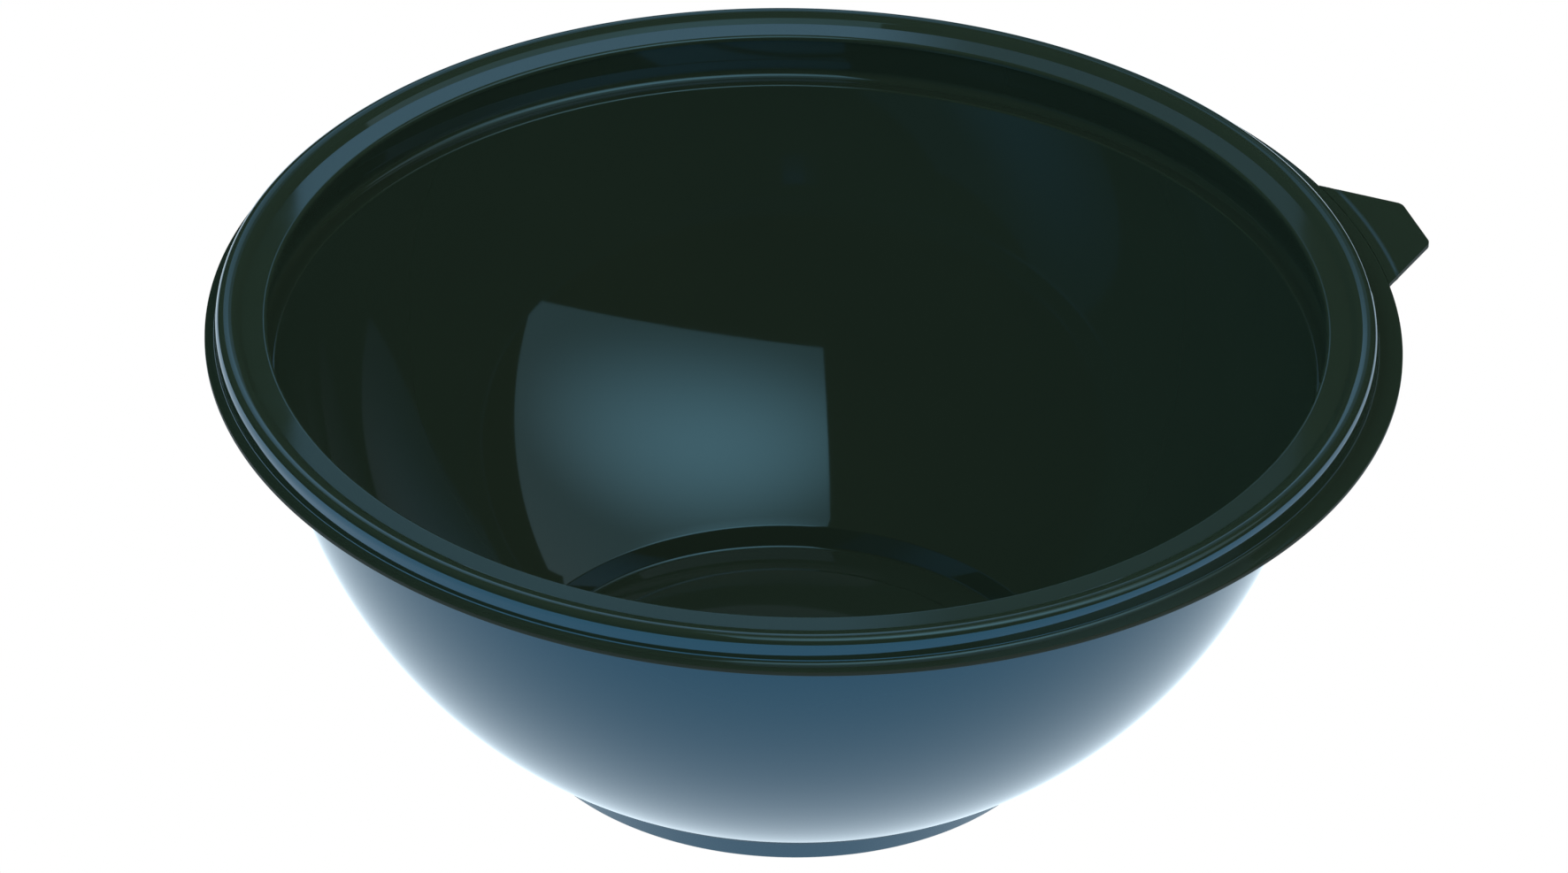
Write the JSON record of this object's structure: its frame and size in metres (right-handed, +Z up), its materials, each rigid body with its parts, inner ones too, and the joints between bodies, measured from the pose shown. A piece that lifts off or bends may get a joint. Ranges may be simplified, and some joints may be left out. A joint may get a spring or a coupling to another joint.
{
  "type": "mixing bowl",
  "caption": "Shallow ball-shaped mixing bowl in thin gloss plastic, with a snap rim and lid seat, a flat flange, a grip tab and a low foot ring.",
  "frame": {"origin": "centre of the foot ring on the plane that the bowl stands on", "axes": "+Z up along the bowl's axis, +X towards the grip tab"},
  "size_m": [0.1974, 0.188, 0.0737],
  "materials": {
    "bowl_plastic": "high gloss, opaque black",
    "foot_plastic": "gloss, opaque black"
  },
  "bodies": {
    "root": {"bowl_shell": "bowl_plastic", "rim_band": "bowl_plastic", "flange_ring": "bowl_plastic", "grip_tab": "bowl_plastic", "foot_ring": "foot_plastic"}
  },
  "joints": []
}
